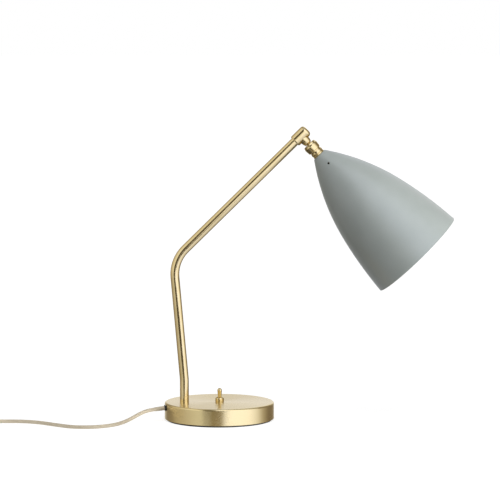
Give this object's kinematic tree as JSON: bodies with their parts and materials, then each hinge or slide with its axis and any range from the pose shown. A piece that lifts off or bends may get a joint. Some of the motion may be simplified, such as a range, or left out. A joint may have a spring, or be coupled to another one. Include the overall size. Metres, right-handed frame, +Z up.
{
  "type": "desk lamp",
  "caption": "Desk lamp with a weighted round brass base, a bent tube stem and a bell shade on a ball joint, with a toggle switch on the base.",
  "frame": {"origin": "centre of the base's underside, on the table", "axes": "+Z up; +X the side that the arm and the shade reach to; -Y the front, so the cord leaves the base at -X"},
  "size_m": [0.7483, 0.195, 0.4154],
  "materials": {
    "satin_brass": "satin",
    "polished_brass": "polished",
    "raw_brass": "satin",
    "grey_paint": "satin",
    "cast_iron": "matte",
    "zinc_steel": "satin",
    "blackened_steel": "satin",
    "bearing_bronze": "satin",
    "white_nylon": "satin",
    "black_rubber": "matte",
    "black_bakelite": "satin",
    "cream_cord": "satin",
    "core_insulation": "satin",
    "bulb_cap_metal": "satin",
    "opal_glass": "satin"
  },
  "bodies": {
    "stand": {"base_cover": "satin_brass", "base_weight": "cast_iron", "base_plate": "zinc_steel", "base_plate_screws": "zinc_steel", "base_pad": "black_rubber", "stem_tube": "polished_brass", "stem_nipple": "raw_brass", "stem_washer": "zinc_steel", "stem_nut": "zinc_steel", "stem_lead": "core_insulation", "arm_end_cap": "polished_brass", "ball_stud": "polished_brass", "switch_body": "black_bakelite", "switch_terminals": "raw_brass", "switch_bushing": "polished_brass", "switch_inner_nut": "zinc_steel", "switch_dress_nut": "polished_brass", "cord_grommet": "black_rubber", "cord_strain_relief": "cream_cord", "inner_cord": "cream_cord", "cord_ferrule": "zinc_steel", "terminal_block": "white_nylon", "terminal_block_screws": "raw_brass", "cord_wires": "core_insulation", "switch_wires": "core_insulation", "mains_cord": "cream_cord", "cord_coil": "cream_cord", "plug_strain_relief": "cream_cord", "plug_body": "cream_cord", "plug_pins": "raw_brass"},
    "switch_lever": {"switch_lever": "polished_brass"},
    "ball_liner": {"ball_liner": "white_nylon"},
    "pressure_cup": {"pressure_cup": "bearing_bronze"},
    "head": {"joint_socket": "polished_brass", "joint_lock_ring": "polished_brass", "joint_spring_washer": "zinc_steel", "shade_collar": "polished_brass", "shade_nipple": "raw_brass", "shade": "grey_paint", "shade_screws": "blackened_steel", "shade_nut": "zinc_steel", "lampholder_dome": "polished_brass", "dome_nut": "zinc_steel", "lampholder_body": "black_bakelite", "lampholder_screw_shell": "raw_brass", "lampholder_contact": "raw_brass", "lampholder_terminal_screws": "raw_brass", "head_lead": "core_insulation", "bulb_cap": "bulb_cap_metal", "bulb_glass": "opal_glass"}
  },
  "joints": [
    {"name": "switch_flip", "type": "hinge", "parent": "stand", "child": "switch_lever", "pos_m": [0.0005, 0, 0.025], "axis": [1, 0, 0], "range_deg": [-24, 0]},
    {"name": "shade_swivel", "type": "hinge", "parent": "stand", "child": "ball_liner", "pos_m": [0.13086, 0, 0.38583], "axis": [0.7009, 0, -0.7133], "range_deg": [-170, 170]},
    {"name": "shade_tilt", "type": "hinge", "parent": "ball_liner", "child": "pressure_cup", "pos_m": [0.13086, 0, 0.38583], "axis": [0, 1, 0], "range_deg": [-18, 18]},
    {"name": "shade_spin", "type": "hinge", "parent": "pressure_cup", "child": "head", "pos_m": [0.13086, 0, 0.38583], "axis": [0.7009, 0, -0.7133], "range_deg": [-170, 170]}
  ]
}
